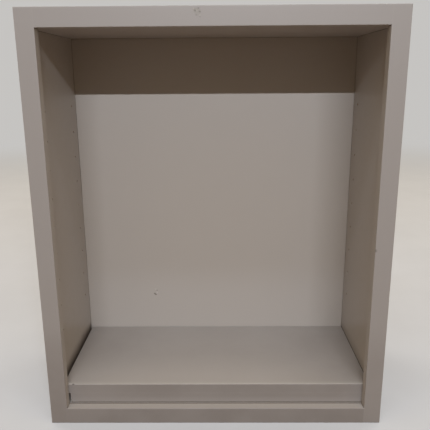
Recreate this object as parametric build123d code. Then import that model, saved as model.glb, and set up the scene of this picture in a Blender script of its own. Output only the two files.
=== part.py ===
from build123d import *

import os

# An open-front wall cabinet: a painted carcass behind a face frame, with one loose shelf.
# Millimetres. The origin is the middle of the base, the front faces -Y and height runs along +Z.

# Overall size
cabinet_width = 600
cabinet_height = 718
cabinet_depth = 280

# Face frame
frame_thickness = 18
stile_width = 30
top_rail_height = 30
bottom_rail_height = 30
arris_radius = 1.2

# Stub tenons on the rails, and their mortises in the stiles
tenon_length = 20
tenon_thickness = 6
tenon_shoulder = 5
tenon_fit = 0.1
mortise_end_room = 1

# Carcass boards
side_thickness = 18
top_thickness = 18
bottom_thickness = 18
back_thickness = 9
housing_depth = 6
groove_depth = 6
groove_fit = 0.1
groove_end_room = 0.8
edge_chamfer = 0.8

# Rails behind the back panel, for the screws into the wall
hanging_rail_thickness = 18
hanging_rail_height = 90

# Holes for shelf pins, in a front and a rear column on each side
pin_hole_diameter = 5
pin_hole_depth = 12
pin_pitch = 50
pin_rows = 9
front_pin_setback = 37
rear_pin_setback = 30

# Loose tongues that join the frame, and the hanging rails, to the carcass
tongue_thickness = 6
tongue_near_depth = 8
tongue_far_depth = 10
tongue_margin = 15
tongue_fit = 0.05
tongue_end_room = 0.5

# Loose shelf, which lies on the cabinet's floor
shelf_thickness = 18
shelf_side_clearance = 2
shelf_front_clearance = 1
shelf_rear_clearance = 1
shelf_shift = 1.6
shelf_seat_gap = 0.3
shelf_arris_radius = 1

# Lip and batten under the shelf board, short enough at both ends to pass between the stiles
strip_thickness = 20
strip_width = 40
strip_opening_clearance = 1

# Countersunk screws through the lip and the batten into the shelf board
screw_diameter = 4
screw_length = 30
screw_head_diameter = 8
screw_point_length = 4
screw_recess = 0.5
screw_fit = 0.1
screws_per_strip = 3
screw_margin = 45

# Planes and spaces that follow from those sizes
front_y = -cabinet_depth / 2
rear_y = cabinet_depth / 2
frame_back_y = front_y + frame_thickness
back_rear_y = rear_y - hanging_rail_thickness
back_front_y = back_rear_y - back_thickness
floor_z = bottom_rail_height
ceiling_z = cabinet_height - top_rail_height
opening_width = cabinet_width - 2 * stile_width
opening_height = ceiling_z - floor_z
inner_width = cabinet_width - 2 * side_thickness
inner_mid_z = (floor_z + ceiling_z) / 2


def block(x_span, y_span, z_span):
    """A rectangular board between two values on each axis."""
    size = [high - low for low, high in (x_span, y_span, z_span)]
    middle = [(high + low) / 2 for low, high in (x_span, y_span, z_span)]
    return Pos(*middle) * Box(*size)


def spread(count, low, high):
    """Evenly spaced values from low to high, or the middle where there is only one."""
    if count == 1:
        return [(low + high) / 2]
    step = (high - low) / (count - 1)
    return [low + step * i for i in range(count)]


def rod(plane, radius, start, end):
    """A round rod along the plane's normal, between two distances from it."""
    return plane * Pos(0, 0, (start + end) / 2) * Cylinder(radius, end - start)


# Tongues: each joint is a plane on the meeting faces and a length along the plane's own X.
# The plane's normal points from the piece with the shallow groove to the one with the deep groove.


def frame_joints():
    """Where the face frame meets the carcass: one tongue joint for each member of the frame."""
    side_x = cabinet_width / 2 - side_thickness / 2
    upright = opening_height - 2 * tongue_margin
    across = opening_width - 2 * tongue_margin
    places = {
        "left": ((-side_x, frame_back_y, inner_mid_z), (0, 0, 1), upright),
        "right": ((side_x, frame_back_y, inner_mid_z), (0, 0, 1), upright),
        "top": ((0, frame_back_y, ceiling_z + top_thickness / 2), (1, 0, 0), across),
        "bottom": ((0, frame_back_y, floor_z - bottom_thickness / 2), (1, 0, 0), across),
    }
    return {
        member: (Plane(middle, x_dir=along, z_dir=(0, 1, 0)), length)
        for member, (middle, along, length) in places.items()
    }


def hanging_rail_joint(z_span, side):
    """Where one end of a hanging rail meets a side panel."""
    middle = (side * inner_width / 2, (back_rear_y + rear_y) / 2, (z_span[0] + z_span[1]) / 2)
    return Plane(middle, x_dir=(0, 0, 1), z_dir=(-side, 0, 0)), hanging_rail_height - 2 * tongue_margin


def bar(joint, thickness, start, end):
    """A flat bar across a joint, between two distances along its normal."""
    plane, length = joint
    return plane * Pos(0, 0, (start + end) / 2) * Box(length, thickness, end - start)


def tongue(joint):
    plane, length = joint
    free_joint = (plane, length - 2 * tongue_end_room)
    return bar(free_joint, tongue_thickness, -tongue_near_depth, tongue_far_depth)


def shallow_groove(joint):
    return bar(joint, tongue_thickness + 2 * tongue_fit, -tongue_near_depth - tongue_end_room, 0)


def deep_groove(joint):
    return bar(joint, tongue_thickness + 2 * tongue_fit, 0, tongue_far_depth + tongue_end_room)


# Face frame: one rounded outline, cut where the rails meet the stiles


def frame_outline():
    """The whole frame in one piece, whose rounded arrises meet in a mitre at each inner corner."""
    back_plane = Plane((0, frame_back_y, 0), x_dir=(1, 0, 0), z_dir=(0, -1, 0))
    outer = Pos(0, cabinet_height / 2) * Rectangle(cabinet_width, cabinet_height)
    opening = Pos(0, inner_mid_z) * Rectangle(opening_width, opening_height)
    frame = extrude(back_plane * (outer - opening), frame_thickness)
    front_face = frame.faces().sort_by(Axis.Y)[0]
    return fillet(front_face.edges(), arris_radius)


def tenon(side, z_span, fit=0, end_room=0):
    """A rail's stub tenon at one end, or with fit and end_room the mortise that holds it."""
    shoulder_x = opening_width / 2
    end_x = shoulder_x + tenon_length + end_room
    x_span = (shoulder_x, end_x) if side > 0 else (-end_x, -shoulder_x)
    mid_y = (front_y + frame_back_y) / 2
    half = tenon_thickness / 2 + fit
    low, high = z_span[0] + tenon_shoulder - fit, z_span[1] - tenon_shoulder + fit
    return block(x_span, (mid_y - half, mid_y + half), (low, high))


rail_spans = {"top": (ceiling_z, cabinet_height), "bottom": (0, floor_z)}


def stile(side, joint):
    """One upright of the frame, with its two mortises and the groove for its tongue."""
    inner_x = opening_width / 2
    outer_x = cabinet_width / 2
    x_span = (inner_x, outer_x) if side > 0 else (-outer_x, -inner_x)
    piece = frame_outline() & block(x_span, (front_y, frame_back_y), (0, cabinet_height))
    for z_span in rail_spans.values():
        piece -= tenon(side, z_span, tenon_fit, mortise_end_room)
    return piece - shallow_groove(joint)


def rail(z_span, joint):
    """One cross member of the frame, with a tenon at each end and the groove for its tongue."""
    x_span = (-opening_width / 2, opening_width / 2)
    piece = frame_outline() & block(x_span, (front_y, frame_back_y), z_span)
    piece += [tenon(side, z_span) for side in (-1, 1)]
    return piece - shallow_groove(joint)


# Carcass

hanging_rail_spans = {
    "top": (ceiling_z - hanging_rail_height, ceiling_z),
    "bottom": (floor_z, floor_z + hanging_rail_height),
}


def pin_holes(side):
    """The front and the rear column of shelf-pin holes in one side panel."""
    first_y = frame_back_y + front_pin_setback
    last_y = back_front_y - rear_pin_setback
    face = Plane(
        (side * inner_width / 2, (first_y + last_y) / 2, inner_mid_z), x_dir=(0, 1, 0), z_dir=(side, 0, 0)
    )
    places = GridLocations(last_y - first_y, pin_pitch, 2, pin_rows)
    return [rod(face * place, pin_hole_diameter / 2, 0, pin_hole_depth) for place in places]


def back_slot(z_span, x_span):
    """The groove that holds the back panel, between two heights and across a width."""
    return block(x_span, (back_front_y - groove_fit, back_rear_y + groove_fit), z_span)


def side_panel(side, frame_joint):
    """One side, with housings for the top and bottom, grooves for the back and tongues, and pin holes."""
    inner_x = side * inner_width / 2
    outer_x = side * cabinet_width / 2
    housing_x = inner_x + side * housing_depth
    groove_x = inner_x + side * groove_depth
    x_span = (min(inner_x, outer_x), max(inner_x, outer_x))
    panel = block(x_span, (frame_back_y, rear_y), (0, cabinet_height))
    outer_face = panel.faces().sort_by(Axis.X)[-1 if side > 0 else 0]
    exposed_edges = outer_face.edges().sort_by(Axis.Y)[1:]
    panel = chamfer(exposed_edges, edge_chamfer)
    housing_span = (min(inner_x, housing_x), max(inner_x, housing_x))
    for z_span in ((floor_z - bottom_thickness, floor_z), (ceiling_z, ceiling_z + top_thickness)):
        panel -= block(housing_span, (frame_back_y, rear_y), z_span)
    panel -= back_slot((floor_z, ceiling_z), (min(inner_x, groove_x), max(inner_x, groove_x)))
    panel -= pin_holes(side)
    panel -= deep_groove(frame_joint)
    for z_span in hanging_rail_spans.values():
        panel -= shallow_groove(hanging_rail_joint(z_span, side))
    return panel


def housed_panel(z_span, groove_z_span, frame_joint):
    """The top or the bottom board, housed in the sides, with its groove for the back panel."""
    half_length = inner_width / 2 + housing_depth
    panel = block((-half_length, half_length), (frame_back_y, rear_y), z_span)
    panel -= back_slot(groove_z_span, (-inner_width / 2 - groove_depth, inner_width / 2 + groove_depth))
    return panel - deep_groove(frame_joint)


def back_panel():
    """The back, held on all four edges, with a little room at the bottom of each groove."""
    reach = groove_depth - groove_end_room
    half_width = inner_width / 2 + reach
    return block((-half_width, half_width), (back_front_y, back_rear_y), (floor_z - reach, ceiling_z + reach))


def hanging_rail(z_span):
    """A rail behind the back panel, between the sides, with a groove for a tongue in each end."""
    piece = block((-inner_width / 2, inner_width / 2), (back_rear_y, rear_y), z_span)
    for side in (-1, 1):
        piece -= deep_groove(hanging_rail_joint(z_span, side))
    return piece


# Loose shelf, drawn where it lies on the floor, pushed over to the right

shelf_width = inner_width - 2 * shelf_side_clearance
shelf_front_y = frame_back_y + shelf_front_clearance
shelf_rear_y = back_front_y - shelf_rear_clearance
strip_base_z = floor_z + shelf_seat_gap
board_base_z = strip_base_z + strip_thickness
strip_length = opening_width - 2 * strip_opening_clearance
strip_y_spans = {
    "front": (shelf_front_y, shelf_front_y + strip_width),
    "rear": (shelf_rear_y - strip_width, shelf_rear_y),
}


def screw_planes(y_span):
    """Places of a strip's screws: planes on its underside whose normals point up."""
    reach = strip_length / 2 - screw_margin
    y = (y_span[0] + y_span[1]) / 2
    xs = [shelf_shift + x for x in spread(screws_per_strip, -reach, reach)]
    return [Plane((x, y, strip_base_z), x_dir=(1, 0, 0), z_dir=(0, 0, 1)) for x in xs]


def screw(plane):
    """A countersunk screw, standing on its head, with a plain shank and a point."""
    head = screw_head_diameter / 2
    shank = screw_diameter / 2
    base = screw_recess
    outline = Polyline(
        (0, base),
        (head, base),
        (shank, base + head - shank),
        (shank, base + screw_length - screw_point_length),
        (0, base + screw_length),
        close=True,
    )
    profile = make_face(Plane.XZ * outline)
    return plane * revolve(profile, Axis.Z)


def countersunk_hole(plane):
    """The hole through a strip, wide enough at its mouth for the screw's head."""
    shank = screw_diameter / 2 + screw_fit
    mouth = screw_head_diameter / 2 + screw_fit + screw_recess
    outline = Polyline(
        (0, 0), (mouth, 0), (shank, mouth - shank), (shank, strip_thickness), (0, strip_thickness), close=True
    )
    profile = make_face(Plane.XZ * outline)
    return plane * revolve(profile, Axis.Z)


def shelf_board():
    """The shelf's top board, with rounded front arrises and the screws' pilot holes beneath."""
    x_span = (shelf_shift - shelf_width / 2, shelf_shift + shelf_width / 2)
    board = block(x_span, (shelf_front_y, shelf_rear_y), (board_base_z, board_base_z + shelf_thickness))
    front_face = board.faces().sort_by(Axis.Y)[0]
    board = fillet(front_face.edges().sort_by(Axis.Z)[-1], shelf_arris_radius)
    pilot_depth = screw_recess + screw_length - strip_thickness + screw_fit
    for y_span in strip_y_spans.values():
        for plane in screw_planes(y_span):
            board -= rod(plane.offset(strip_thickness), screw_diameter / 2 + screw_fit, 0, pilot_depth)
    return board


def shelf_strip(y_span, is_front):
    """The lip or the batten under the board, screwed up into it from below."""
    x_span = (shelf_shift - strip_length / 2, shelf_shift + strip_length / 2)
    strip = block(x_span, y_span, (strip_base_z, board_base_z))
    if is_front:
        front_face = strip.faces().sort_by(Axis.Y)[0]
        strip = fillet(front_face.edges().sort_by(Axis.Z)[0], shelf_arris_radius)
    return strip - [countersunk_hole(plane) for plane in screw_planes(y_span)]


def build_nodes():
    """Every separate piece or group of like fasteners, by name."""
    joints = frame_joints()
    top_span = (ceiling_z, ceiling_z + top_thickness)
    bottom_span = (floor_z - bottom_thickness, floor_z)
    nodes = {
        "stile_left": stile(-1, joints["left"]),
        "stile_right": stile(1, joints["right"]),
        "rail_top": rail(rail_spans["top"], joints["top"]),
        "rail_bottom": rail(rail_spans["bottom"], joints["bottom"]),
        "side_panel_left": side_panel(-1, joints["left"]),
        "side_panel_right": side_panel(1, joints["right"]),
        "top_panel": housed_panel(top_span, (ceiling_z, ceiling_z + groove_depth), joints["top"]),
        "bottom_panel": housed_panel(bottom_span, (floor_z - groove_depth, floor_z), joints["bottom"]),
        "back_panel": back_panel(),
        "shelf_board": shelf_board(),
        "shelf_lip": shelf_strip(strip_y_spans["front"], True),
        "shelf_batten": shelf_strip(strip_y_spans["rear"], False),
        "shelf_lip_screws": [screw(plane) for plane in screw_planes(strip_y_spans["front"])],
        "shelf_batten_screws": [screw(plane) for plane in screw_planes(strip_y_spans["rear"])],
    }
    for member, joint in joints.items():
        nodes["frame_tongue_" + member] = tongue(joint)
    for name, z_span in hanging_rail_spans.items():
        nodes["hanging_rail_" + name] = hanging_rail(z_span)
        nodes["hanging_rail_tongues_" + name] = [tongue(hanging_rail_joint(z_span, side)) for side in (-1, 1)]
    return nodes


os.makedirs("parts", exist_ok=True)
for node_name, shape in build_nodes().items():
    whole = Compound(children=shape) if isinstance(shape, list) else shape
    export_step(whole, f"parts/{node_name}.step")
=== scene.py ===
"""An open-front wall cabinet in satin paint: finishes, screws, floor, lamps and camera.

Every size is in metres, in the cabinet's own frame: the origin is the middle of the base,
the open front faces -Y and height runs along +Z.
"""

import functools
import math

import bmesh
import bpy
from bpy.props import FloatProperty, FloatVectorProperty, IntProperty, PointerProperty
from mathutils import Matrix, Vector


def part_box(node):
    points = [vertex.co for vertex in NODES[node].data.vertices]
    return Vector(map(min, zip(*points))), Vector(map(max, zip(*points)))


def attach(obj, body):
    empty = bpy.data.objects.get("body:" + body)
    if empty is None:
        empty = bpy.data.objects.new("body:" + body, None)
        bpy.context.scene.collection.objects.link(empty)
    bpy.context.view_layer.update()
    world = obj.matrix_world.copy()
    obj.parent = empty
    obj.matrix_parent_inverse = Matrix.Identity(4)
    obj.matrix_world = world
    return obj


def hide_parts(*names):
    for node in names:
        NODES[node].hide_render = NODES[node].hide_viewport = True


bl_info = {
    "name": "Open-front wall cabinet",
    "version": (1, 0, 0),
    "blender": (4, 5, 0),
    "location": "3D View > Sidebar > Cabinet",
    "description": "Finishes the pieces of a painted wall cabinet and sets it in a plain studio",
    "category": "3D View",
}

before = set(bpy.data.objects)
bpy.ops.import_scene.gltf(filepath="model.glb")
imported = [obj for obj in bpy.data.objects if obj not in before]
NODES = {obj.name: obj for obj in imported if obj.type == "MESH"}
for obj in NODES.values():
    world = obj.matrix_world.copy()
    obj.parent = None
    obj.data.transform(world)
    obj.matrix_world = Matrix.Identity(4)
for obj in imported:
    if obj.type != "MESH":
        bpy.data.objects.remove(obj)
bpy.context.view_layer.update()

X, Y, Z = 0, 1, 2

# Pieces that are finished alike. Each tongue has the axis that its plies are stacked along.
FRAME_NODES = ("stile_left", "stile_right", "rail_top", "rail_bottom")
HANGING_RAILS = ("hanging_rail_top", "hanging_rail_bottom")
TONGUES = {
    "frame_tongue_left": X,
    "frame_tongue_right": X,
    "frame_tongue_top": Z,
    "frame_tongue_bottom": Z,
    "hanging_rail_tongues_top": Y,
    "hanging_rail_tongues_bottom": Y,
}
SCREW_NODES = ("shelf_lip_screws", "shelf_batten_screws")

# Faces of the boards
INNER_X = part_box("side_panel_right")[0].x
OUTER_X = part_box("side_panel_right")[1].x
OPENING_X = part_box("stile_right")[0].x
FRAME_FRONT_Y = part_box("rail_top")[0].y
FRAME_BACK_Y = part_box("side_panel_right")[0].y
SHELF_FRONT_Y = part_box("shelf_board")[0].y
BACK_FRONT_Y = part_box("back_panel")[0].y
BACK_REAR_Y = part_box("back_panel")[1].y
FLOOR_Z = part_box("bottom_panel")[1].z
CEILING_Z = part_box("top_panel")[0].z
SHELF_TOP_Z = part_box("shelf_board")[1].z

# Past every board, and the distance within which a point counts as on a face
FAR = 9.0
SLIVER = 0.0003

# How far behind the front of the frame, and of the shelf, the lighter inside tone begins, which is painted
# light
FRAME_ARRIS = 0.0013
SHELF_ARRIS = 0.0004

# Boxes along whose edges boards meet: inside the carcass, and round the frame's opening
INSIDE_JOINTS = ((-INNER_X, -FAR, FLOOR_Z), (INNER_X, BACK_FRONT_Y, CEILING_Z))
OPENING_JOINTS = ((-OPENING_X, -FAR, FLOOR_Z), (OPENING_X, FAR, CEILING_Z))

# How deep a single mark on an upright face is coloured
MARK_REACH = 0.004

# Share of the painted shadow near the floor on the right stile, where it is weaker
RIGHT_STILE_SHADOW = 0.52

# How much lower the upper edge of the painted shadow low on the inner sides lies for each metre further back
SIDE_SHADOW_SLOPE = 0.494

# Noise scales of timber pores, across and along the grain
ACROSS_PORES, ALONG_PORES = 900.0, 22.0

# Where the soft lamps point, and the distances between which the floor melts into the background
MIDDLE = (0.0, 0.0, 0.35)
FLOOR_FADE = (1.6, 4.5)

SCUFFED = (0.42, 0.38, 0.34)
DUST = (0.36, 0.33, 0.30)
# Colour of the painted shade in narrow crevices
PAINTED_CREVICE_SHADE = (0.07, 0.055, 0.045)


# Sizes and colours that a user would change


def colour_prop(name, description, default, most=1.0):
    """A colour that a user can set."""
    return FloatVectorProperty(
        name=name, description=description, subtype="COLOR", size=3, min=0, max=most, default=default
    )


def number_prop(name, description, default, least=0.0, most=1.0, unit="NONE", precision=3):
    """A number that a user can set: a share, or a quantity whose unit is given."""
    limits = {"min": least, "max": most, "precision": precision}
    return FloatProperty(name=name, description=description, unit=unit, default=default, **limits)


def length_prop(name, description, default, least=0.0, most=1.0, precision=3):
    """A length that a user can set."""
    return number_prop(name, description, default, least, most, "LENGTH", precision)


def angle_prop(name, description, degrees):
    """An angle that a user can set."""
    default = math.radians(degrees)
    return FloatProperty(name=name, description=description, subtype="ANGLE", precision=4, default=default)


def place_prop(name, description, default):
    """A point that a user can set."""
    return FloatVectorProperty(
        name=name, description=description, subtype="TRANSLATION", size=3, precision=4, default=default
    )


def size_prop(name, description, default):
    """The two sides of a lamp, which a user can set."""
    return FloatVectorProperty(
        name=name, description=description, unit="LENGTH", size=2, min=0.01, max=6, default=default
    )


class CabinetPaint(bpy.types.PropertyGroup):
    """The satin paint, how it has aged, and the light and shade painted into it"""

    # One paint in two tones: the outside tone is the paint's own colour, and the lighter inside tone is
    # painted light.
    colour: colour_prop(
        "Paint outside", "Colour of the paint outside, dulled by light and hands", (0.290, 0.263, 0.2525)
    )
    inside_painted_light: colour_prop(
        "Paint inside", "Colour of the cleaner paint inside the cabinet", (0.424, 0.383, 0.354)
    )
    roughness: number_prop("Roughness", "How dull the paint is", 0.42, least=0.05)
    drift: number_prop("Tone drift", "How much the tone wanders over a board", 0.024, most=0.3)
    peel: length_prop("Peel", "Height of the sprayed film's ripple", 0.000012, most=0.0005, precision=6)
    # The primer's colour also makes the painted highlight along the shelf's front.
    primer: colour_prop("Primer", "Colour of the primer under the paint", (0.52, 0.49, 0.45))
    wear_reach: length_prop(
        "Wear reach", "How far wear spreads from an edge", 0.0011, most=0.02, precision=5
    )
    wear: number_prop("Wear", "Share of an edge that is worn", 0.3)
    scuffs: number_prop("Scuffs", "How many scuffs show", 0.35)
    dust: number_prop("Dust", "How much dust lies on level faces", 0.25)
    # Painted shadow over the lower outside, darker towards the floor, and how high it reaches.
    low_shadow: number_prop("Grime", "How dirty the outside is near the floor", 0.27)
    low_shadow_reach: length_prop("Grime reach", "How high that dirt rises", 0.205)
    # This colour darkens real joint lines and also paints shade: the low shadow outside, along the shelf's
    # top and towards the shelf's ends.
    dirt: colour_prop("Dirt", "Colour of old dirt in joints and near the floor", (0.095, 0.071, 0.058))
    # Film is the colour of a brown painted shadow low on the inner sides; its share and top follow.
    film: colour_prop("Film", "Colour of the brown film low on the inner sides", (0.254, 0.172, 0.053))
    side_shadow_share: number_prop("Film share", "How much of the paint's colour the film hides", 0.20)
    side_shadow_top: length_prop("Film top", "Height of the film's upper edge at the front", 0.194)
    joint_line: length_prop(
        "Joint line", "Width of the dark line where boards meet", 0.0006, most=0.003, precision=5
    )


class CabinetBoard(bpy.types.PropertyGroup):
    """The unpainted faces and the fasteners"""

    fibreboard: colour_prop("Fibreboard", "Colour of bare fibreboard", (0.36, 0.235, 0.135))
    overspray: length_prop("Overspray", "How far paint mist reaches over a bare face", 0.022, most=0.2)
    birch: colour_prop("Birch", "Colour of the light plies of a tongue", (0.56, 0.40, 0.25))
    ply: length_prop("Ply", "Thickness of one ply", 0.0012, least=0.0003, most=0.005, precision=4)
    zinc: colour_prop("Zinc", "Colour of the plated screws", (0.62, 0.60, 0.55))
    thread_pitch: length_prop(
        "Thread pitch",
        "Distance between turns of a screw's thread",
        0.0018,
        least=0.0008,
        most=0.004,
        precision=4,
    )
    thread_depth: length_prop("Thread depth", "Depth of a screw's thread", 0.0005, most=0.001, precision=5)
    screw_sides: IntProperty(
        name="Screw sides", description="Points round a screw", min=16, max=96, default=32
    )


class CabinetStudio(bpy.types.PropertyGroup):
    """Floor, lamps and camera"""

    floor: colour_prop("Floor", "Colour of the floor and the background", (0.56, 0.548, 0.532))
    floor_paint: colour_prop(
        "Floor paint", "Colour of the floor near the cabinet, under the lamps", (0.528, 0.537, 0.564)
    )
    floor_bounce: colour_prop(
        "Floor bounce", "Colour of the light that the floor sends up", (0.222, 0.155, 0.096)
    )
    floor_radius: length_prop("Floor radius", "Half the floor's width", 9, least=1, most=50)
    key_power: number_prop(
        "Key power", "Power of the long strip lamp in front", 75.4, most=5000, unit="POWER"
    )
    key_size: size_prop("Key size", "Length and height of the strip lamp", (1.77, 0.02))
    key_place: place_prop("Key place", "Middle of the strip lamp", (0.185, -3.14, 1.967))
    key_colour: colour_prop("Key colour", "Colour of the strip lamp", (0.9515, 1.0, 1.055), most=2.0)
    ceiling_power: number_prop(
        "Ceiling power", "Power of the strip lamp overhead", 14.1, most=500, unit="POWER"
    )
    ceiling_size: size_prop("Ceiling size", "Length and width of the strip lamp overhead", (2.0, 0.13))
    ceiling_place: place_prop("Ceiling place", "Middle of the strip lamp overhead", (0.0, -1.15, 2.7))
    ceiling_colour: colour_prop(
        "Ceiling colour", "Colour of the strip lamp overhead", (0.844, 1.0, 1.235), most=2.0
    )
    side_power: number_prop(
        "Side power", "Power of each of the two soft lamps behind", 28, most=5000, unit="POWER"
    )
    side_size: size_prop("Side size", "Sides of each soft lamp", (1.6, 1.6))
    side_place: place_prop(
        "Side place", "Middle of the right soft lamp, which the left one mirrors", (2.3, 1.5, 1.9)
    )
    ambient: colour_prop(
        "Ambient", "Colour and level of the light from all round", (0.675, 0.535, 0.335), most=2.0
    )
    front_dip: number_prop("Front dip", "How much dimmer the light from straight in front is", 0.97)
    camera_place: place_prop("Camera", "Where the camera stands", (0.0111, -0.9914, 0.6149))
    turn: angle_prop("Turn", "Camera's turn to the right", -0.594)
    tilt: angle_prop("Tilt", "Camera's tilt down", 14.564)
    roll: angle_prop("Roll", "Camera's roll", -0.408)
    lens: number_prop("Lens", "Focal length on a 36 mm sensor", 44.703, least=10, most=300, unit="CAMERA")


# Node trees


class Wiring:
    """Adds shader nodes to a tree. Any input may be a number, a colour or another node's output."""

    def __init__(self, tree):
        self.tree = tree

    def feed(self, socket, value):
        """Links another node's output to a socket, or sets the socket's own value."""
        if isinstance(value, bpy.types.NodeSocket):
            self.tree.links.new(value, socket)
            return
        if hasattr(value, "__len__") and len(socket.default_value) == 4 and len(value) == 3:
            value = (*value, 1.0)
        socket.default_value = value

    def add(self, kind, inputs=(), **settings):
        """A new node with its settings and inputs."""
        node = self.tree.nodes.new(kind)
        for name, value in settings.items():
            setattr(node, name, value)
        for key, value in dict(inputs).items():
            self.feed(node.inputs[key], value)
        return node

    def maths(self, operation, *values, clamp=False):
        return self.add("ShaderNodeMath", enumerate(values), operation=operation, use_clamp=clamp).outputs[0]

    def times(self, first, *others, clamp=False):
        """The product of all the values, kept between 0 and 1 if clamp is set."""
        *middle, last = others
        for value in middle:
            first = self.maths("MULTIPLY", first, value)
        return self.maths("MULTIPLY", first, last, clamp=clamp)

    def minus(self, first, second):
        return self.maths("SUBTRACT", first, second)

    def vectors(self, operation, *values):
        node = self.add("ShaderNodeVectorMath", enumerate(values), operation=operation)
        return node.outputs["Value" if operation == "LENGTH" else "Vector"]

    def scaled(self, colour, factor):
        """A colour made lighter or darker by one factor."""
        even = self.add("ShaderNodeCombineXYZ", {X: factor, Y: factor, Z: factor}).outputs[0]
        return self.vectors("MULTIPLY", colour, even)

    def inward(self, at, low, high):
        """How far a point is inside the faces of a box, along each axis."""
        return self.vectors("MINIMUM", self.vectors("SUBTRACT", at, low), self.vectors("SUBTRACT", high, at))

    def parts(self, vector):
        return self.add("ShaderNodeSeparateXYZ", {0: vector}).outputs

    def ease(self, value, low, high, start=0.0, end=1.0):
        """A smooth step from start at low to end at high."""
        inputs = {"Value": value, "From Min": low, "From Max": high, "To Min": start, "To Max": end}
        return self.add("ShaderNodeMapRange", inputs, interpolation_type="SMOOTHSTEP").outputs["Result"]

    def colours(self, share, first, second):
        """A blend of two colours, which is the second one where share is 1."""
        return self.add("ShaderNodeMix", {0: share, 6: first, 7: second}, data_type="RGBA").outputs[2]

    def values(self, share, first, second):
        """A blend of two values, which is the second one where share is 1."""
        return self.add("ShaderNodeMix", {0: share, 2: first, 3: second}, data_type="FLOAT").outputs[0]

    def noise(self, where, scale, detail=2.0, roughness=0.5):
        """Soft noise. A scale of three numbers draws it out along some axes."""
        if hasattr(scale, "__len__"):
            where, scale = self.vectors("MULTIPLY", where, scale), 1.0
        inputs = {"Vector": where, "Scale": scale, "Detail": detail, "Roughness": roughness}
        return self.add("ShaderNodeTexNoise", inputs).outputs[0]

    def place(self):
        return self.add("ShaderNodeTexCoord").outputs["Object"]

    def facing(self):
        return self.add("ShaderNodeTexCoord").outputs["Normal"]


def fresh_wiring(owner):
    """The wiring of a material or a world, with its tree emptied."""
    owner.use_nodes = True
    owner.node_tree.nodes.clear()
    return Wiring(owner.node_tree)


def socket_kind(label, default=0.0):
    """A group's socket takes a colour if its label says so, a vector if its default is one, or a value."""
    if label == "Colour":
        return "NodeSocketColor"
    return "NodeSocketVector" if hasattr(default, "__len__") else "NodeSocketFloat"


def effect(name, **inputs):
    """Makes a node group of a function that takes its wiring and inputs, and returns its outputs by name.

    The group is built once, and each call places it in a tree with its own values.
    """

    def wrap(build):
        @functools.cache
        def group():
            tree = bpy.data.node_groups.new(name, "ShaderNodeTree")
            for label, default in inputs.items():
                kind = socket_kind(label, default)
                socket = tree.interface.new_socket(label, in_out="INPUT", socket_type=kind)
                socket.default_value = (*default, 1.0) if label == "Colour" else default
            w = Wiring(tree)
            results = build(w, *w.add("NodeGroupInput").outputs[: len(inputs)])
            for label in results:
                tree.interface.new_socket(label, in_out="OUTPUT", socket_type=socket_kind(label))
            w.add("NodeGroupOutput", results)
            return tree

        @functools.wraps(build)
        def placed(w, **values):
            return w.add("ShaderNodeGroup", values, node_tree=group()).outputs

        return placed

    return wrap


@effect("Shelter", Low=(0, 0, 0), High=(1, 1, 1))
def inside_mask(w, low, high):
    """Mask of the cabinet's inside, where the paint takes the lighter inside tone, which is painted light."""
    inward = w.parts(w.inward(w.place(), low, high))
    nearest = w.maths("MINIMUM", inward[X], w.maths("MINIMUM", inward[Y], inward[Z]))
    return {"Mask": w.ease(nearest, -0.0004, 0.0)}


@effect("Paint film", Colour=(0.3, 0.3, 0.3), Roughness=0.4, Drift=0.03, Peel=0.00001)
def paint_film(w, colour, roughness, drift, peel):
    """Sprayed satin paint: its wandering tone, uneven gloss and fine ripple."""
    at = w.place()
    wide = w.noise(at, 2.3)
    patch = w.noise(at, 21.0, 3.0, 0.55)
    tone = w.maths("ADD", w.times(wide, 1.3), w.times(patch, 0.7))
    lift = w.maths("ADD", 1.0, w.times(w.minus(tone, 1.0), drift))
    gloss = w.maths("MULTIPLY_ADD", w.noise(at, 64.0, 3.0, 0.6), 0.12, w.minus(roughness, 0.06))
    ripple = w.noise(at, 430.0, 1.5, 0.45)
    grit = w.times(w.noise(at, 2600.0, 1.0), 0.22)
    height = w.times(w.maths("ADD", ripple, grit), peel)
    return {"Colour": w.scaled(colour, lift), "Roughness": gloss, "Height": height}


@effect("Edge distance", Low=(0, 0, 0), High=(1, 1, 1))
def edge_distance(w, low, high):
    """How far a point on a board's surface is from the nearest edge of the board's box."""
    a, b, c = w.parts(w.inward(w.place(), low, high))
    least, most = w.maths("MINIMUM", a, b), w.maths("MAXIMUM", a, b)
    return {"Distance": w.maths("MAXIMUM", least, w.maths("MINIMUM", most, c))}


@effect("Edge wear", Distance=0.01, Reach=0.001, Amount=0.3)
def edge_wear(w, distance, reach, amount):
    """Where paint has worn thin or chipped along an edge."""
    at = w.place()
    patches = w.noise(at, 17.0, 3.0, 0.6)
    ragged = w.noise(at, 620.0, 3.0, 0.65)
    share = w.ease(patches, w.minus(0.72, w.times(amount, 0.3)), 0.74)
    torn = w.times(ragged, 1.6, share, reach)
    chip = w.ease(w.minus(torn, distance), 0.0, 0.00012)
    near = w.ease(distance, w.times(reach, 3.0), 0.0)
    return {"Chip": chip, "Rub": w.times(near, amount)}


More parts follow.
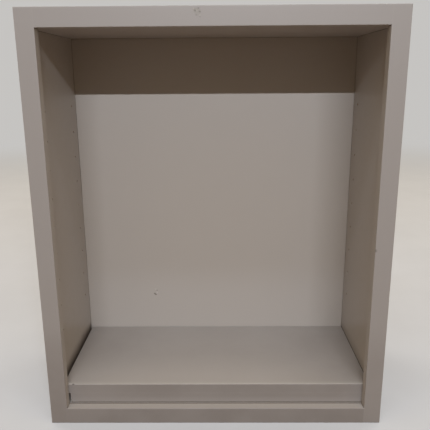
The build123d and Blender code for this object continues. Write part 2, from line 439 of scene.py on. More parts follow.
@effect("Scuffs", Amount=0.3)
def scuffing(w, amount):
    """Sparse hairline scuffs in two directions, gathered in patches."""
    at = w.place()
    directions = (((0.5, 0.3, 0.9), (5.0, 120.0, 60.0), 3.1), ((1.2, 0.9, 0.2), (80.0, 7.0, 110.0), 4.7))
    marks = []
    for turn, stretch, shift in directions:
        turned = {"Vector": at, "Rotation": turn}
        way = w.add("ShaderNodeVectorRotate", turned, rotation_type="EULER_XYZ").outputs[0]
        streak = w.noise(way, stretch, 1.0, 0.4)
        line = w.ease(w.maths("ABSOLUTE", w.minus(streak, 0.5)), 0.0065, 0.0015)
        patch = w.ease(w.noise(w.vectors("ADD", at, (shift, 0.0, shift)), 9.0), 0.60, 0.70)
        marks.append(w.times(line, patch))
    return {"Mask": w.times(w.maths("MAXIMUM", *marks), amount, clamp=True)}


@effect("Dust", Amount=0.3)
def settled_dust(w, amount):
    """Fine dust on faces that look up."""
    at = w.place()
    up = w.ease(w.parts(w.facing())[Z], 0.6, 0.95)
    drifts = w.ease(w.noise(at, 14.0, 4.0, 0.6), 0.35, 0.75, 0.35)
    specks = w.ease(w.noise(at, 1100.0, 2.0, 0.6), 0.35, 0.8, 0.5, 1.3)
    return {"Mask": w.times(up, drifts, w.times(specks, amount), clamp=True)}


@effect("Grime", Amount=0.3, Reach=0.15)
def painted_low_shadow(w, amount, reach):
    """Painted shadow on the lower outside of a cabinet, darkest near the floor and uneven in patches."""
    at = w.place()
    patches = w.ease(w.noise(at, 13.0, 4.0, 0.6), 0.3, 0.7, 0.75, 1.25)
    low = w.ease(w.parts(at)[Z], reach, w.times(reach, 0.55))
    return {"Mask": w.times(low, patches, amount, clamp=True)}


@effect("Joint line", Distance=0.01, Width=0.0006)
def joint_line(w, distance, width):
    """A dark line where boards meet, ragged and broken, wider towards the front."""
    at = w.place()
    depth = w.ease(w.parts(at)[Y], BACK_FRONT_Y, FRAME_FRONT_Y, 0.55, 1.25)
    broken = w.ease(w.noise(at, 24.0, 4.0, 0.65), 0.3, 0.6, 0.35, 1.2)
    reach = w.times(depth, broken, width)
    return {"Mask": w.ease(w.minus(reach, distance), -0.0002, 0.00015)}


@effect("Stale dirt", Top=0.07, Fade=0.01)
def shelf_line_shade(w, top, fade):
    """Painted shade in a band along the shelf's top, darker towards it. It thins out below the shelf's top.
    """
    at = w.place()
    _, y, z = w.parts(at)
    height = w.minus(z, top)
    widening = w.ease(y, SHELF_FRONT_Y, 0.0, 0.62, 0.92)
    narrowing = w.ease(y, 0.02, BACK_FRONT_Y, 1.0, 0.66)
    reach = w.times(widening, narrowing, fade)
    uneven = w.times(w.minus(w.noise(at, 18.0), 0.5), w.times(reach, 0.4))
    above = w.ease(w.maths("ADD", height, uneven), reach, 0.0)
    below = w.ease(height, -0.026, -0.007, 0.25)
    patches = w.ease(w.noise(at, 55.0, 4.0, 0.65), 0.3, 0.75, 0.9, 1.05)
    return {"Mask": w.times(above, below, patches, clamp=True)}


@effect("Shaded ends", Start=0.06, End=0.36, Amount=0.4)
def shelf_end_shade(w, start, end, amount):
    """Painted shade darkening a shelf towards its ends and rear, less at the front of its left end."""
    at = w.place()
    x, y, _ = w.parts(at)
    outward = w.ease(w.maths("ABSOLUTE", x), start, end)
    left_front_share = w.ease(y, SHELF_FRONT_Y, 0.07, 0.25)
    along = w.times(outward, w.values(w.maths("LESS_THAN", x, 0.0), 1.0, left_front_share))
    deep = w.ease(y, SHELF_FRONT_Y + 0.02, 0.0, end=0.42)
    spread = w.minus(w.maths("ADD", along, deep), w.times(along, deep))
    patches = w.ease(w.noise(at, 9.0, 5.0, 0.6), 0.3, 0.7, 0.85, 1.15)
    return {"Mask": w.times(spread, patches, amount, clamp=True)}


@effect("Shadow film", Top=0.19, Slope=0.5)
def low_side_shadow(w, top, slope):
    """A brown painted shadow low on the inner sides, whose upper edge reaches higher towards the front."""
    at = w.place()
    _, y, z = w.parts(at)
    height = w.maths("ADD", z, w.times(w.minus(y, FRAME_FRONT_Y), slope))
    uneven = w.times(w.minus(w.noise(at, 11.0, 3.0, 0.55), 0.5), 0.012)
    low = w.ease(w.minus(w.maths("ADD", height, uneven), top), 0.012, -0.010)
    patches = w.ease(w.noise(at, 30.0, 3.0, 0.6), 0.3, 0.7, 0.9, 1.1)
    return {"Mask": w.times(low, patches, clamp=True)}


@effect("Fibreboard", Colour=(0.4, 0.3, 0.2))
def bare_fibreboard(w, colour):
    """Unpainted fibreboard: pale and dark fibres, faint pressing marks and a felted surface."""
    at = w.place()
    shaded = w.vectors("MULTIPLY", colour, (0.72, 0.70, 0.68))
    pale = w.vectors("MULTIPLY", colour, (1.28, 1.24, 1.18))
    dark = w.vectors("MULTIPLY", colour, (0.66, 0.62, 0.58))
    fibres = w.noise(w.vectors("MULTIPLY", at, (1.0, 0.7, 1.3)), 1500.0, 3.0, 0.7)
    flecks = w.ease(w.noise(at, 520.0, 2.0, 0.6), 0.58, 0.72)
    clouds = w.maths("MULTIPLY_ADD", w.noise(at, 3.1, 3.0), 0.5, w.times(w.noise(at, 12.0, 4.0, 0.6), 0.5))
    strokes = w.noise(at, (7.0, 7.0, 420.0), 3.0, 0.6)
    felted = w.colours(w.ease(fibres, 0.3, 0.7), shaded, colour)
    flecked = w.colours(w.times(flecks, 0.35), felted, (0.16, 0.09, 0.045))
    cloudy = w.colours(w.ease(clouds, 0.36, 0.64, end=0.34), flecked, pale)
    pressed = w.colours(w.ease(strokes, 0.52, 0.72, end=0.22), cloudy, dark)
    roughness = w.ease(fibres, 0.2, 0.8, 0.78, 0.95)
    height = w.times(w.maths("ADD", fibres, w.times(flecks, -0.6)), 0.00003)
    return {"Colour": pressed, "Roughness": roughness, "Height": height}


@effect("Spot", Centre=(0, 0, 0), Size=(0.01, 0.01, 0.01), Raggedness=0.5)
def ragged_spot(w, centre, size, raggedness):
    """A small ragged mark round a point."""
    at = w.place()
    offset = w.vectors("SUBTRACT", at, centre)
    far = w.vectors("LENGTH", w.vectors("DIVIDE", offset, size))
    torn = w.times(w.minus(w.noise(at, 700.0, 3.0, 0.6), 0.5), raggedness)
    reach = w.maths("ADD", far, torn)
    mask = w.ease(reach, 1.0, 0.8)
    rim = w.times(w.ease(reach, 1.45, 1.0), w.minus(1.0, mask))
    return {"Mask": mask, "Rim": rim}


@effect("Plies", Depth=0.0, Ply=0.0012, Colour=(0.6, 0.4, 0.2))
def glued_plies(w, depth, ply, colour):
    """Thin birch plies seen on edge, stacked through a tongue's thickness."""
    at = w.place()
    wander = w.times(w.noise(at, 40.0), 0.0002)
    turn = w.maths("DIVIDE", w.maths("ADD", depth, wander), ply)
    cross = w.ease(w.maths("PINGPONG", turn, 1.0), 0.4, 0.6)
    grain = w.noise(at, (900.0, 900.0, 60.0), 3.0, 0.6)
    shaded = w.vectors("MULTIPLY", colour, (0.85, 0.82, 0.78))
    light = w.colours(w.ease(grain, 0.3, 0.7), shaded, colour)
    dark = w.vectors("MULTIPLY", light, (0.66, 0.58, 0.50))
    return {"Colour": w.colours(cross, light, dark), "Height": w.times(grain, 0.00002)}


# Materials


class Surface:
    """The colour, roughness and height of a board's faces, to which layers are added in turn."""

    def __init__(self, w, colour, roughness, height):
        self.w = w
        self.colour = colour
        self.roughness = roughness
        self.height = height

    def tone(self, share, colour):
        """Turns the colour into another one where share is 1."""
        self.colour = self.w.colours(share, self.colour, colour)

    def dull(self, share, roughness):
        """Turns the roughness into another one where share is 1."""
        self.roughness = self.w.values(share, self.roughness, roughness)

    def lift(self, share, step):
        """Raises the face where share is 1, or sinks it if the step is negative."""
        self.height = self.w.maths("MULTIPLY_ADD", share, step, self.height)

    def finish(self, shader, depth=1.0):
        """Feeds the faces to a shader. Depth is what a height of 1 stands for."""
        bump = self.w.add("ShaderNodeBump", {"Height": self.height, "Distance": depth})
        self.w.feed(shader.inputs["Base Color"], self.colour)
        self.w.feed(shader.inputs["Roughness"], self.roughness)
        self.w.feed(shader.inputs["Normal"], bump.outputs["Normal"])


def new_material(name):
    """An empty material with its wiring and its shader."""
    material = bpy.data.materials.new(name)
    w = fresh_wiring(material)
    shader = w.add("ShaderNodeBsdfPrincipled")
    w.feed(w.add("ShaderNodeOutputMaterial").inputs["Surface"], shader.outputs["BSDF"])
    return material, w, shader


def finish_node(node_name, material):
    """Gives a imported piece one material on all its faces."""
    slots = NODES[node_name].data.materials
    slots.clear()
    slots.append(material)


def side_bare(w):
    """Bare faces of a side panel: its rear part, rear edge and underside, and inside holes and housings."""
    x, y, _ = w.parts(w.place())
    _, facing_y, facing_z = w.parts(w.facing())
    reach = w.maths("ABSOLUTE", x)
    on_inner_face = w.maths("LESS_THAN", reach, INNER_X + SLIVER)
    behind_back = w.maths("GREATER_THAN", y, BACK_REAR_Y - SLIVER)
    past_inner_face = w.maths("GREATER_THAN", reach, INNER_X + SLIVER)
    short_of_outer_face = w.maths("LESS_THAN", reach, OUTER_X - SLIVER)
    not_on_top = w.minus(1.0, w.maths("GREATER_THAN", facing_z, 0.5))
    rear = w.times(on_inner_face, behind_back)
    hidden = w.times(past_inner_face, short_of_outer_face, not_on_top)
    edge = w.maths("GREATER_THAN", facing_y, 0.5)
    return w.maths("MAXIMUM", w.maths("MAXIMUM", rear, hidden), edge)


def facing_bare(axis, sign):
    """Bare faces of a board: those that look one way along an axis."""

    def mask(w):
        along = w.parts(w.facing())[axis]
        return w.maths("GREATER_THAN", w.times(along, sign), 0.5)

    return mask


def sprayed_paint(w, inside, rub, grain_axis):
    """Paint worn thin at edges, scuffed, over timber pores; the lighter inside tone is painted light."""
    paint = bpy.context.scene.cabinet_paint
    # Painted light: the inside of the cabinet takes the lighter tone.
    coat = w.colours(inside, paint.colour, paint.inside_painted_light)
    film = paint_film(w, Colour=coat, Roughness=paint.roughness, Drift=paint.drift, Peel=paint.peel)
    roughness = w.minus(film["Roughness"], w.times(rub, 0.08))
    face = Surface(w, film["Colour"], roughness, film["Height"])
    face.tone(w.times(rub, 0.12), paint.primer)
    scuffs = scuffing(w, Amount=paint.scuffs)["Mask"]
    face.tone(w.times(scuffs, 0.5), SCUFFED)
    if grain_axis is not None:
        stretch = [ACROSS_PORES, ACROSS_PORES, ACROSS_PORES]
        stretch[grain_axis] = ALONG_PORES
        face.lift(w.noise(w.place(), stretch), paint.peel * 0.35)
    return face


def add_low_shadow(face, paint, inside, node_name, front_y):
    """Painted shadow low on the outside, weaker on the right stile and on the shelf, least at the bottom of
    its lip.
    """
    w = face.w
    shadow_share = RIGHT_STILE_SHADOW if node_name == "stile_right" else 1.0
    if front_y == SHELF_FRONT_Y:
        shadow_share = w.ease(w.parts(w.place())[Z], FLOOR_Z + 0.001, FLOOR_Z + 0.015, 0.25, 0.85)
    low_shadow = painted_low_shadow(w, Amount=w.times(shadow_share, paint.low_shadow), Reach=paint.low_shadow_reach)["Mask"]
    face.tone(w.times(low_shadow, w.minus(1.0, inside)), paint.dirt)


def shade_shelf_board(face, paint, inside):
    """Painted shade to the shelf's ends and rear, and a painted highlight along the front of its top."""
    w = face.w
    ends = shelf_end_shade(w, Amount=0.36)["Mask"]
    face.tone(w.times(ends, inside), paint.dirt)
    y = w.parts(w.place())[Y]
    front_highlight = w.ease(y, SHELF_FRONT_Y + 0.012, SHELF_FRONT_Y + 0.001, end=0.4)
    # Painted highlight: the front of the shelf's upper face turns towards the primer's colour.
    face.tone(w.times(front_highlight, inside), paint.primer)


def add_low_side_shadow(face, paint, inside):
    """A brown painted shadow low on the inner side of a side panel."""
    w = face.w
    film = low_side_shadow(w, Top=paint.side_shadow_top, Slope=SIDE_SHADOW_SLOPE)["Mask"]
    face.tone(w.times(film, inside, paint.side_shadow_share), paint.film)


def add_shelf_line_shade(face, paint, inside, amount, fade):
    """Painted shade along the shelf's top, that strong and reaching that far above it, tinted brown and dull.
    """
    w = face.w
    band = shelf_line_shade(w, Top=SHELF_TOP_Z - 0.001, Fade=fade)["Mask"]
    old = w.times(band, inside, amount)
    face.tone(old, w.vectors("MULTIPLY", paint.dirt, (0.52, 0.42, 0.31)))
    face.dull(old, 0.75)


def add_joint_lines(face, paint, inside, box):
    """Sunken dark lines along the edges of a box."""
    w = face.w
    near = edge_distance(w, Low=box[0], High=box[1])["Distance"]
    ragged = joint_line(w, Distance=near, Width=paint.joint_line)["Mask"]
    line = w.times(ragged, inside)
    face.tone(w.times(line, 0.8), paint.dirt)
    face.lift(line, -0.0002)


def add_mark(face, centre, size, shade, depth, raggedness):
    """One sunken mark with a raised rim."""
    spot = ragged_spot(face.w, Centre=centre, Size=size, Raggedness=raggedness)
    face.tone(spot["Mask"], shade)
    face.dull(spot["Mask"], 0.7)
    face.lift(spot["Mask"], -depth)
    face.lift(spot["Rim"], depth * 0.25)


def leave_bare(face, unpainted, distance):
    """Fibreboard on the unpainted faces, under a mist of paint that thins out away from their edges."""
    w, board = face.w, bpy.context.scene.cabinet_board
    naked = bare_fibreboard(w, Colour=board.fibreboard)
    mist = w.times(w.ease(distance, board.overspray, 0.0), 1.1)
    covered = w.ease(w.minus(mist, w.noise(w.place(), 1300.0, 2.0, 0.7)), -0.06, 0.12)
    share = w.times(unpainted, w.minus(1.0, covered))
    face.tone(share, naked["Colour"])
    face.dull(share, naked["Roughness"])
    face.height = w.values(share, face.height, naked["Height"])


def painted(node_name, front_y=FRAME_FRONT_Y, grain_axis=None, joints=None, line_shade=None, marks=(), bare=None):
    """The finish of one painted board, from the paint up to the dust on it.

    Behind front_y the paint takes the lighter inside tone, which is painted light; joints is a box
    along whose edges boards meet, line_shade is the strength and reach of the painted shade along the
    shelf's top, and bare makes the mask of the faces that got no paint.
    """
    paint = bpy.context.scene.cabinet_paint
    material, w, shader = new_material("Painted " + node_name.replace("_", " "))
    arris = FRAME_ARRIS if front_y == FRAME_FRONT_Y else SHELF_ARRIS
    painted_light_from = (-INNER_X, front_y + arris, FLOOR_Z)
    inside = inside_mask(w, Low=painted_light_from, High=(INNER_X, BACK_REAR_Y, CEILING_Z))["Mask"]
    low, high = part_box(node_name)
    distance = edge_distance(w, Low=low, High=high)["Distance"]
    worn = edge_wear(w, Distance=distance, Reach=paint.wear_reach, Amount=paint.wear)
    face = sprayed_paint(w, inside, worn["Rub"], grain_axis)
    # Painted light and shade follow: shadow low outside, shade and a highlight on the shelf, shadow low on
    # the side panels, shade along the shelf's top.
    add_low_shadow(face, paint, inside, node_name, front_y)
    if node_name == "shelf_board":
        shade_shelf_board(face, paint, inside)
    if node_name.startswith("side_panel"):
        add_low_side_shadow(face, paint, inside)
    if line_shade is not None:
        add_shelf_line_shade(face, paint, inside, *line_shade)
    if joints is not None:
        add_joint_lines(face, paint, inside, joints)
    face.tone(worn["Chip"], paint.primer)
    face.lift(worn["Chip"], -0.00008)
    for mark in marks:
        add_mark(face, *mark)
    if bare is not None:
        leave_bare(face, bare(w), distance)
    dust = settled_dust(w, Amount=paint.dust)["Mask"]
    face.tone(w.times(dust, 0.5), DUST)
    face.dull(dust, 0.85)
    face.finish(shader)
    return material


def bare_board(node_name):
    """Fibreboard with no paint, but for a little mist along its edges."""
    board, paint = bpy.context.scene.cabinet_board, bpy.context.scene.cabinet_paint
    material, w, shader = new_material("Bare " + node_name.replace("_", " "))
    low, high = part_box(node_name)
    naked = bare_fibreboard(w, Colour=board.fibreboard)
    distance = edge_distance(w, Low=low, High=high)["Distance"]
    mist = w.minus(w.ease(distance, 0.006, 0.0), w.noise(w.place(), 1300.0, 2.0, 0.7))
    face = Surface(w, naked["Colour"], naked["Roughness"], naked["Height"])
    face.tone(w.ease(mist, 0.1, 0.3), paint.colour)
    face.finish(shader)
    return material


def plywood(node_name, thickness_axis):
    """Birch plywood, whose plies show on the edges across its thickness."""
    board = bpy.context.scene.cabinet_board
    material, w, shader = new_material("Plywood " + node_name.replace("_", " "))
    depth = w.parts(w.place())[thickness_axis]
    plies = glued_plies(w, Depth=depth, Ply=board.ply, Colour=board.birch)
    Surface(w, plies["Colour"], 0.7, plies["Height"]).finish(shader)
    return material


def plated_steel():
    """Bright zinc plate with a faint yellow bloom and fine turning marks."""
    board = bpy.context.scene.cabinet_board
    material, w, shader = new_material("Zinc plate")
    at = w.place()
    bloom = w.ease(w.noise(at, 260.0, 3.0, 0.6), 0.35, 0.7)
    turned = w.noise(at, (3000.0, 3000.0, 9000.0), 2.0, 0.6)
    plate = Surface(w, board.zinc, w.ease(bloom, 0.0, 1.0, 0.28, 0.45), turned)
    plate.tone(w.times(bloom, 0.5), (0.60, 0.53, 0.38))
    plate.finish(shader, depth=0.000004)
    shader.inputs["Metallic"].default_value = 1.0
    return material


def new_object(name, data):
    """A new object in the scene."""
    obj = bpy.data.objects.new(name, data)
    bpy.context.scene.collection.objects.link(obj)
    return obj


def mesh_object(name, bm, material):
    """A new object in the scene that has the shape of bm, which is freed, and one material."""
    mesh = bpy.data.meshes.new(name)
    bm.to_mesh(mesh)
    bm.free()
    mesh.materials.append(material)
    return new_object(name, mesh)


# Screws

# Rings of points across a screw's head, as shares of its radius
HEAD_RINGS = (0.06, 0.13, 0.2, 0.27, 0.34, 0.41, 0.48, 0.55, 0.62, 0.70, 0.80, 0.92, 1.0)
HEAD_RIM = 0.0002
RECESS_DEPTH = 0.0019
RECESS_ARM = 0.0026
RECESS_HALF_WIDTH = 0.00062
RINGS_PER_TURN = 6
THINNEST = 0.0001


def screw_axes(node_name):
    """The x of each of a strip's screws and the y that they share, found from the tips of the plain ones."""
    low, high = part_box(node_name)
    middle_y = (low.y + high.y) / 2
    found = set()
    for vertex in NODES[node_name].data.vertices:
        if abs(vertex.co.y - middle_y) < 1e-5 and abs(vertex.co.z - high.z) < 1e-5:
            found.add(round(vertex.co.x, 4))
    if not found:
        raise RuntimeError("no screw was found in " + node_name)
    return sorted(found), middle_y


def cross_recess(x, y):
    """How deep a driver's tapered cross goes at a point on a screw's head."""
    along, across = max(abs(x), abs(y)), min(abs(x), abs(y))
    if across > RECESS_HALF_WIDTH or along > RECESS_ARM:
        return 0.0
    return RECESS_DEPTH * (1.0 - 0.75 * along / RECESS_ARM)


def screw_mesh(bm, x, y, low, high, settings, head_radius):
    """One countersunk screw, head down: a crossed head, a cone, a threaded shank and a point."""
    sides = settings.screw_sides
    pitch, thread = settings.thread_pitch, settings.thread_depth
    angles = [2 * math.pi * i / sides for i in range(sides)]
    rings = []

    def ring(radii, z, crossed=False):
        """One loop of points, sunk where the cross is cut."""
        loop = []
        for angle, radius in zip(angles, radii):
            px, py = radius * math.cos(angle), radius * math.sin(angle)
            sunk = cross_recess(px, py) if crossed else 0.0
            loop.append(bm.verts.new((x + px, y + py, z + sunk)))
        rings.append(loop)

    def shank_radius_at(angle, z, taper):
        """The shank's radius beside a thread whose crest climbs one pitch a turn."""
        turn = (z / pitch - angle / (2 * math.pi)) % 1.0
        crest = max(0.0, 1.0 - abs(turn - 0.5) * 4.0)
        return max(THINNEST, (core + thread * crest) * taper)

    for share in HEAD_RINGS:
        ring([head_radius * share] * sides, low, crossed=True)
    ring([head_radius] * sides, low + HEAD_RIM)
    shank_radius = head_radius / 2
    core = shank_radius - thread
    shank_start = low + head_radius - shank_radius
    point_length = head_radius
    steps = int((high - shank_start) / pitch * RINGS_PER_TURN)
    ring([shank_radius * 0.9] * sides, shank_start)
    for k in range(1, steps):
        z = shank_start + (high - shank_start) * k / steps
        taper = min(1.0, (high - z) / point_length)
        ring([shank_radius_at(angle, z, taper) for angle in angles], z)

    for lower, upper in zip(rings, rings[1:]):
        for i in range(sides):
            j = (i + 1) % sides
            bm.faces.new((lower[i], lower[j], upper[j], upper[i]))
    middle = bm.verts.new((x, y, low + RECESS_DEPTH))
    tip = bm.verts.new((x, y, high))
    for i in range(sides):
        j = (i + 1) % sides
        bm.faces.new((rings[0][j], rings[0][i], middle))
        bm.faces.new((rings[-1][i], rings[-1][j], tip))


def make_screws(node_name, piece_name, material):
    """Detailed screws that stand for one group of plain ones."""
    settings = bpy.context.scene.cabinet_board
    low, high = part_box(node_name)
    columns, y = screw_axes(node_name)
    bm = bmesh.new()
    for x in columns:
        screw_mesh(bm, x, y, low.z, high.z, settings, head_radius=(high.y - low.y) / 2)
    bmesh.ops.recalc_face_normals(bm, faces=bm.faces)
    piece = mesh_object(piece_name, bm, material)
    for polygon in piece.data.polygons:
        polygon.use_smooth = True
    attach(piece, "shelf")
    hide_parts(node_name)


# Operators


def marks_on_face(y, rows):
    """Single marks on an upright face at y, from rows of x, z, width, height, shade, depth and raggedness."""
    return [((x, y, z), (width, MARK_REACH, height), *look) for x, z, width, height, *look in rows]


class CABINET_OT_face_frame(bpy.types.Operator):
    """Paint the two stiles and the two rails of the face frame"""

    bl_idname = "cabinet.face_frame"
    bl_label = "Paint face frame"

    def execute(self, context):
        light_speck = (0.36, 0.335, 0.31)
        chip = (0.226, 0.208, 0.196)
        knocks = (
            (-0.0230, 0.7095, 0.0062, 0.0046, (0.302, 0.281, 0.265), 0.00004, 1.2),
            (-0.0280, 0.7136, 0.0014, 0.0012, light_speck, 0.0001, 1.0),
            (-0.0256, 0.7105, 0.0017, 0.0016, chip, 0.00008, 0.9),
            (-0.0228, 0.7108, 0.0012, 0.0015, light_speck, 0.0001, 1.0),
            (-0.0203, 0.7140, 0.0015, 0.0012, chip, 0.00008, 0.9),
            (-0.0184, 0.7090, 0.0018, 0.0016, chip, 0.00008, 0.9),
            (-0.0238, 0.7042, 0.0016, 0.0011, (0.258, 0.238, 0.224), 0.0001, 1.0),
            (-0.0181, 0.7042, 0.0014, 0.0013, light_speck, 0.0001, 1.0),
            (-0.0179, 0.7018, 0.0013, 0.0009, (0.262, 0.242, 0.228), 0.0001, 1.0),
        )
        nick_place = (0.2712, FRAME_FRONT_Y + 0.0004, 0.3302)
        # Painted shadow: a soft dark line and a darker thin line along the rear of the bottom rail's top,
        # where the shelf's lip stands.
        lip_shadow_line = (0.0, FRAME_BACK_Y, FLOOR_Z)
        marks = {
            "rail_top": marks_on_face(FRAME_FRONT_Y, knocks),
            "stile_right": [(nick_place, (0.0024, 0.0022, 0.0030), (0.215, 0.195, 0.183), 0.0001, 0.9)],
            "rail_bottom": [
                (lip_shadow_line, (FAR, 0.0034, 0.0012), (0.25, 0.215, 0.19), 0.00005, 0.6),
                (lip_shadow_line, (FAR, 0.0012, 0.0012), PAINTED_CREVICE_SHADE, 0.0001, 0.8),
            ],
        }
        for node_name in FRAME_NODES:
            material = painted(
                node_name,
                grain_axis=Z if node_name.startswith("stile") else X,
                joints=OPENING_JOINTS,
                # Painted shade along the bottom rail's top, below the shelf's top.
                line_shade=(0.28, 0.002) if node_name == "rail_bottom" else None,
                marks=marks.get(node_name, ()),
            )
            finish_node(node_name, material)
        return {"FINISHED"}


class CABINET_OT_carcass(bpy.types.Operator):
    """Paint the sides, top, bottom and back, and leave their hidden faces bare"""

    bl_idname = "cabinet.carcass"
    bl_label = "Paint carcass"

    def execute(self, context):
        # A small pit in the back panel: its dark spots are painted shade in the pit, and its light specks
        # painted highlights on its rim.
        light_speck = (0.50, 0.46, 0.43)
        shade = (0.222, 0.194, 0.173)
        pit = (
            (-0.1298, 0.1508, 0.0020, 0.0026, light_speck, 0.00005, 0.9),
            (-0.1300, 0.1561, 0.0022, 0.0012, (0.29, 0.257, 0.235), 0.0001, 0.9),
            (-0.1327, 0.1588, 0.0024, 0.0009, light_speck, 0.00005, 0.9),
            (-0.1353, 0.1481, 0.0024, 0.0020, shade, 0.00012, 0.7),
            (-0.1331, 0.1461, 0.0023, 0.0020, shade, 0.00012, 0.7),
        )
        # Painted shadow: a dark line on the right side panel at the level of the shelf's top, beside the
        # shelf's end.
        shelf_gap_shadow = ((INNER_X, 0.0, SHELF_TOP_Z - 0.0003), (0.004, FAR, 0.0020), PAINTED_CREVICE_SHADE, 0.0, 0.8)
        # Each row's third value is the strength and reach of the painted shade along the shelf's top.
        boards = (
            ("side_panel_left", side_bare, (0.86, 0.033), ()),
            ("side_panel_right", side_bare, (0.25, 0.034), (shelf_gap_shadow,)),
            ("top_panel", facing_bare(Z, 1.0), None, ()),
            ("bottom_panel", facing_bare(Z, -1.0), (0.10, 0.003), ()),
            ("back_panel", facing_bare(Y, 1.0), (0.10, 0.003), marks_on_face(BACK_FRONT_Y, pit)),
        )
        for node_name, bare, line_shade, marks in boards:
            material = painted(node_name, joints=INSIDE_JOINTS, line_shade=line_shade, marks=marks, bare=bare)
            finish_node(node_name, material)
        return {"FINISHED"}


class CABINET_OT_hanging_rails(bpy.types.Operator):
    """Finish the two bare rails behind the back panel"""

    bl_idname = "cabinet.hanging_rails"
    bl_label = "Finish hanging rails"

    def execute(self, context):
        for node_name in HANGING_RAILS:
            finish_node(node_name, bare_board(node_name))
        return {"FINISHED"}


class CABINET_OT_tongues(bpy.types.Operator):
    """Finish the plywood tongues in the joints"""

    bl_idname = "cabinet.tongues"
    bl_label = "Finish tongues"

    def execute(self, context):
        for node_name, thickness_axis in TONGUES.items():
            finish_node(node_name, plywood(node_name, thickness_axis))
        return {"FINISHED"}


class CABINET_OT_shelf(bpy.types.Operator):
    """Paint the loose shelf's board, lip and batten"""

    bl_idname = "cabinet.shelf"
    bl_label = "Paint shelf"

    def execute(self, context):
        knock_place = (-0.2610, SHELF_FRONT_Y, SHELF_TOP_Z - 0.0006)
        knock = (knock_place, (0.0024, 0.002, 0.0010), (0.13, 0.11, 0.10), 0.0001, 0.9)
        # Painted shadow: a dark line along the bottom of the shelf's lip.
        foot_place = (0.0, SHELF_FRONT_Y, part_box("shelf_lip")[0].z)
        lip_foot_shadow = (foot_place, (FAR, 0.0016, 0.0018), (0.13, 0.107, 0.09), 0.00005, 0.8)
        pieces = (
            ("shelf_board", [knock], None),
            ("shelf_lip", [lip_foot_shadow], None),
            ("shelf_batten", (), facing_bare(Z, -1.0)),
        )
        for node_name, marks, bare in pieces:
            finish_node(node_name, painted(node_name, front_y=SHELF_FRONT_Y, marks=marks, bare=bare))
        return {"FINISHED"}


class CABINET_OT_screws(bpy.types.Operator):
    """Make the countersunk screws under the shelf"""

    bl_idname = "cabinet.screws"
    bl_label = "Make shelf screws"

    def execute(self, context):
        material = plated_steel()
        for node_name in SCREW_NODES:
            make_screws(node_name, node_name.replace("shelf_", "threaded_"), material)
        return {"FINISHED"}


def lamp(name, place, target, size, power, colour=(1.0, 1.0, 1.0)):
    """A flat rectangular lamp that points at a target."""
    data = bpy.data.lights.new(name, "AREA")
    data.shape = "RECTANGLE"
    data.size, data.size_y = size
    data.energy = power
    data.color = colour
    obj = new_object(name, data)
    way = Vector(target) - Vector(place)
    obj.matrix_world = Matrix.Translation(place) @ way.to_track_quat("-Z", "Y").to_matrix().to_4x4()


def background_rays(w, path):
    """The camera's rays, and those that a surface mirrors or lets through."""
    indirect = w.maths("MAXIMUM", path["Is Glossy Ray"], path["Is Transmission Ray"])
    return w.maths("MAXIMUM", path["Is Camera Ray"], indirect)


def floor_material(studio):
    """Pale floor that melts into the background far away, takes shadows nearby and is clear from below."""
    material = bpy.data.materials.new("Floor")
    w = fresh_wiring(material)
    path = w.add("ShaderNodeLightPath").outputs
    seen = background_rays(w, path)
    at = w.place()
    mottle = w.ease(w.noise(at, 6.0, 3.0), 0.3, 0.7, 0.985, 1.015)
    lit = w.colours(seen, studio.floor_bounce, w.scaled(studio.floor_paint, mottle))
    near = w.add("ShaderNodeBsdfDiffuse", {"Color": lit, "Roughness": 0.6}).outputs[0]
    far = w.add("ShaderNodeEmission", {"Color": studio.floor, "Strength": seen}).outputs[0]
    fade = w.ease(w.vectors("LENGTH", at), *FLOOR_FADE)
    above = w.add("ShaderNodeMixShader", {0: fade, 1: near, 2: far}).outputs[0]
    below = w.times(w.add("ShaderNodeNewGeometry").outputs["Backfacing"], path["Is Camera Ray"])
    clear = w.add("ShaderNodeBsdfTransparent").outputs[0]
    surface = w.add("ShaderNodeMixShader", {0: below, 1: above, 2: clear}).outputs[0]
    w.feed(w.add("ShaderNodeOutputMaterial").inputs["Surface"], surface)
    return material


def make_world(studio):
    """Even light from all round, dimmer from straight in front, behind a plain background."""
    world = bpy.data.worlds.new("Studio")
    w = fresh_wiring(world)
    seen = background_rays(w, w.add("ShaderNodeLightPath").outputs)
    way = w.parts(w.add("ShaderNodeTexCoord").outputs["Generated"])
    in_front = w.maths("MAXIMUM", w.times(way[Y], -1.0), 0.0)
    level = w.minus(1.0, w.times(w.maths("POWER", in_front, 4.0), studio.front_dip))
    colour = w.colours(seen, w.scaled(studio.ambient, level), studio.floor)
    background = w.add("ShaderNodeBackground", {"Color": colour, "Strength": 1.0}).outputs[0]
    w.feed(w.add("ShaderNodeOutputWorld").inputs["Surface"], background)
    bpy.context.scene.world = world


def make_floor(studio):
    """A round floor under the cabinet."""
    bm = bmesh.new()
    bmesh.ops.create_circle(bm, cap_ends=True, segments=96, radius=studio.floor_radius)
    floor = mesh_object("floor", bm, floor_material(studio))


def make_lamps(studio):
    """A long strip in front, a strip overhead and two soft lamps behind."""
    key_target = (studio.key_place[X], 0.0, MIDDLE[Z])
    lamp("key strip", studio.key_place, key_target, studio.key_size, studio.key_power, studio.key_colour)
    above = studio.ceiling_place
    below = (above[X], above[Y], 0.0)
    lamp("ceiling strip", above, below, studio.ceiling_size, studio.ceiling_power, studio.ceiling_colour)
    x, y, z = studio.side_place
    for name, place in (("soft left", (-x, y, z)), ("soft right", (x, y, z))):
        lamp(name, place, MIDDLE, studio.side_size, studio.side_power)


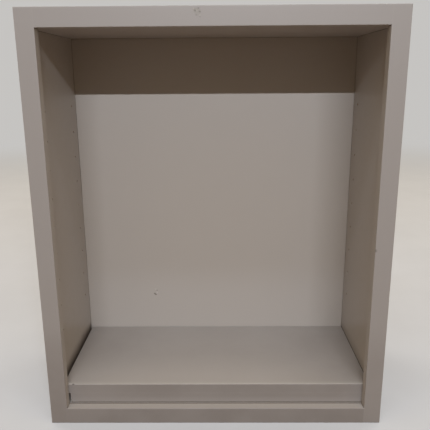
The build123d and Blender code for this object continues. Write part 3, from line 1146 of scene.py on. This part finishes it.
def make_camera(studio):
    """A camera turned, tilted and rolled in that order."""
    data = bpy.data.cameras.new("camera")
    data.sensor_width = 36.0
    data.lens = studio.lens
    data.clip_start, data.clip_end = 0.01, 100.0
    camera = new_object("camera", data)
    upright = Vector((0, 0, 1))
    ahead = Vector((math.sin(studio.turn), math.cos(studio.turn), 0.0))
    side = Vector((math.cos(studio.turn), -math.sin(studio.turn), 0.0))
    forward = math.cos(studio.tilt) * ahead - math.sin(studio.tilt) * upright
    rise = math.sin(studio.tilt) * ahead + math.cos(studio.tilt) * upright
    right = math.cos(studio.roll) * side + math.sin(studio.roll) * rise
    up = math.cos(studio.roll) * rise - math.sin(studio.roll) * side
    turned = Matrix((right, up, -forward)).transposed().to_4x4()
    camera.matrix_world = Matrix.Translation(studio.camera_place) @ turned
    bpy.context.scene.camera = camera


class CABINET_OT_stage(bpy.types.Operator):
    """Make the floor, the lamps, the world and the camera"""

    bl_idname = "cabinet.stage"
    bl_label = "Make studio"

    def execute(self, context):
        studio = context.scene.cabinet_studio
        make_floor(studio)
        make_world(studio)
        make_lamps(studio)
        make_camera(studio)
        context.scene.view_settings.view_transform = "Standard"
        return {"FINISHED"}


class CABINET_PT_panel(bpy.types.Panel):
    """Buttons and sizes for the cabinet"""

    bl_label = "Wall cabinet"
    bl_idname = "CABINET_PT_panel"
    bl_space_type = "VIEW_3D"
    bl_region_type = "UI"
    bl_category = "Cabinet"

    def draw(self, context):
        scene = context.scene
        for operator in OPERATORS:
            self.layout.operator(operator.bl_idname)
        for settings in (scene.cabinet_paint, scene.cabinet_board, scene.cabinet_studio):
            box = self.layout.box()
            for name in settings.bl_rna.properties.keys():
                if name not in ("rna_type", "name"):
                    box.prop(settings, name)


OPERATORS = (
    CABINET_OT_face_frame,
    CABINET_OT_carcass,
    CABINET_OT_hanging_rails,
    CABINET_OT_tongues,
    CABINET_OT_shelf,
    CABINET_OT_screws,
    CABINET_OT_stage,
)
CLASSES = (CabinetPaint, CabinetBoard, CabinetStudio, *OPERATORS, CABINET_PT_panel)


def register():
    for cls in CLASSES:
        bpy.utils.register_class(cls)
    bpy.types.Scene.cabinet_paint = PointerProperty(type=CabinetPaint)
    bpy.types.Scene.cabinet_board = PointerProperty(type=CabinetBoard)
    bpy.types.Scene.cabinet_studio = PointerProperty(type=CabinetStudio)


def unregister():
    del bpy.types.Scene.cabinet_studio
    del bpy.types.Scene.cabinet_board
    del bpy.types.Scene.cabinet_paint
    for cls in reversed(CLASSES):
        bpy.utils.unregister_class(cls)


def main():
    register()
    bpy.ops.cabinet.face_frame()
    bpy.ops.cabinet.carcass()
    bpy.ops.cabinet.hanging_rails()
    bpy.ops.cabinet.tongues()
    bpy.ops.cabinet.shelf()
    bpy.ops.cabinet.screws()
    bpy.ops.cabinet.stage()


if __name__ == "__main__":
    main()
